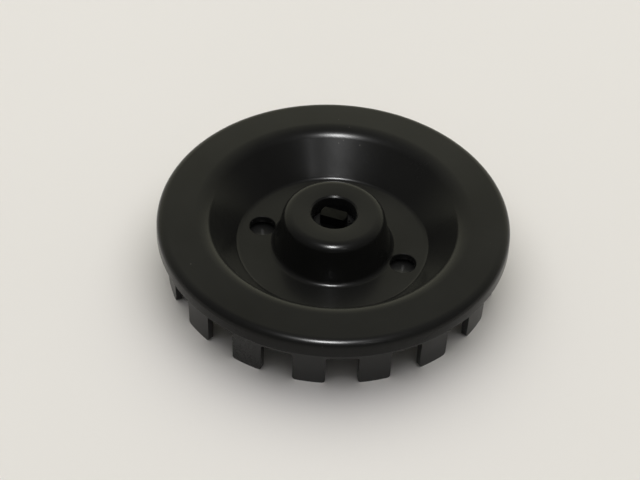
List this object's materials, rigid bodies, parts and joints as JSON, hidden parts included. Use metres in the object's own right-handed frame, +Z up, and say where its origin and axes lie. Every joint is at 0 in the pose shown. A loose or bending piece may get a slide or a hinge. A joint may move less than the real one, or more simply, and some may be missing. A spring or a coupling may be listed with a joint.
{
  "type": "banding wheel",
  "caption": "Low turntable for pottery: a dished round head with a central hub spins on ball bearings over a castellated foot ring.",
  "frame": {"origin": "centre of the foot circle, on the surface that the lugs stand on", "axes": "+Z up along the wheel's axis; +X through the head's right pin hole at rest; the gaps between the lugs are centred on X and Y"},
  "size_m": [0.15, 0.15, 0.0314],
  "materials": {
    "black_plastic": "smooth moulded black, satin gloss",
    "base_plastic": "moulded black, satin gloss",
    "dark_steel": "turned, black oxide",
    "bearing_steel": "ground bearing steel",
    "ball_steel": "polished",
    "cage_plastic": "moulded, brown",
    "black_steel": "black phosphate",
    "screw_steel": "zinc plated"
  },
  "bodies": {
    "base": {"castellated_base": "base_plastic", "spindle": "dark_steel", "dust_washer": "black_steel", "spindle_circlip": "black_steel", "upper_bearing_inner_ring": "bearing_steel", "lower_bearing_inner_ring": "bearing_steel", "flange_screw_1": "screw_steel", "flange_screw_2": "screw_steel", "flange_screw_3": "screw_steel", "flange_screw_4": "screw_steel"},
    "head": {"wheel_head": "black_plastic", "upper_bearing_outer_ring": "bearing_steel", "lower_bearing_outer_ring": "bearing_steel", "upper_bearing_shield": "bearing_steel", "lower_bearing_shield": "bearing_steel", "hub_circlip": "black_steel"},
    "upper_cage": {"upper_bearing_cage": "cage_plastic", "upper_bearing_ball_1": "ball_steel", "upper_bearing_ball_2": "ball_steel", "upper_bearing_ball_3": "ball_steel", "upper_bearing_ball_4": "ball_steel", "upper_bearing_ball_5": "ball_steel", "upper_bearing_ball_6": "ball_steel", "upper_bearing_ball_7": "ball_steel", "upper_bearing_ball_8": "ball_steel"},
    "lower_cage": {"lower_bearing_cage": "cage_plastic", "lower_bearing_ball_1": "ball_steel", "lower_bearing_ball_2": "ball_steel", "lower_bearing_ball_3": "ball_steel", "lower_bearing_ball_4": "ball_steel", "lower_bearing_ball_5": "ball_steel", "lower_bearing_ball_6": "ball_steel", "lower_bearing_ball_7": "ball_steel", "lower_bearing_ball_8": "ball_steel"}
  },
  "joints": [
    {"name": "wheel_spin", "type": "hinge", "parent": "base", "child": "head", "pos_m": [0, 0, 0.01695], "axis": [0, 0, 1], "continuous": true},
    {"name": "upper_cage_spin", "type": "hinge", "parent": "base", "child": "upper_cage", "pos_m": [0, 0, 0.0201], "axis": [0, 0, 1], "continuous": true},
    {"name": "lower_cage_spin", "type": "hinge", "parent": "base", "child": "lower_cage", "pos_m": [0, 0, 0.0138], "axis": [0, 0, 1], "continuous": true}
  ],
  "couplings": [
    {"joint": "upper_cage_spin", "follows": "wheel_spin", "ratio": 0.5972},
    {"joint": "lower_cage_spin", "follows": "wheel_spin", "ratio": 0.5972}
  ]
}
